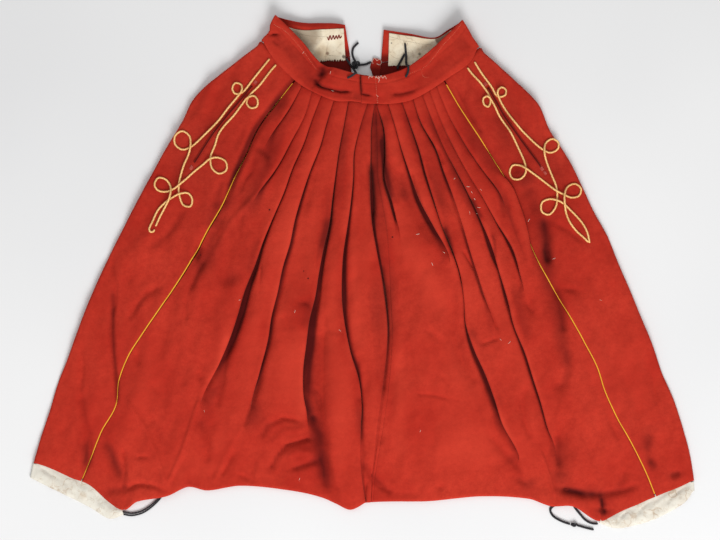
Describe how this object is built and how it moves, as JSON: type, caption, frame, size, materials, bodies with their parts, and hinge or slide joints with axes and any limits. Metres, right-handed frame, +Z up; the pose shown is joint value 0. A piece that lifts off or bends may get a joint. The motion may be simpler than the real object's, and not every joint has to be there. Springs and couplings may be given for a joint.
{
  "type": "zouave trousers",
  "caption": "Full red wool trousers laid flat, pleated into a laced waistband, with linen cuffs, piping and looped braid on the hips.",
  "frame": {"origin": "on the surface it lies on, under the middle of the garment's outline (cords left out)", "axes": "+Z up off the surface, +Y towards the waist, +X towards the wearer's left as the front faces up"},
  "size_m": [1.1306, 0.8728, 0.0267],
  "materials": {
    "wool": "matt fulled wool cloth",
    "linen": "unbleached linen, stained",
    "braid": "round worsted braid",
    "piping": "thin wool piping",
    "lace": "braided cotton lace"
  },
  "bodies": {
    "root": {"front_left": "wool", "front_right": "wool", "back_left": "wool", "back_right": "wool", "waistband_left": "wool", "waistband_right": "wool", "pocket_left": "wool", "pocket_right": "wool", "facing_left": "linen", "facing_right": "linen", "cuff_left": "linen", "cuff_right": "linen", "braid_left_outer": "braid", "braid_left_inner": "braid", "braid_right_outer": "braid", "braid_right_inner": "braid", "piping_left": "piping", "piping_right": "piping", "waist_lace_left_upper": "lace", "waist_lace_left_lower": "lace", "waist_lace_left_side": "lace", "waist_lace_right_upper": "lace", "waist_lace_right_lower": "lace", "leg_tie_left": "lace", "leg_tie_right_loose": "lace", "leg_tie_right_end": "lace", "leg_tie_right_cuff": "lace", "waist_knot_left": "lace", "leg_tie_knot_right": "lace"}
  },
  "joints": []
}
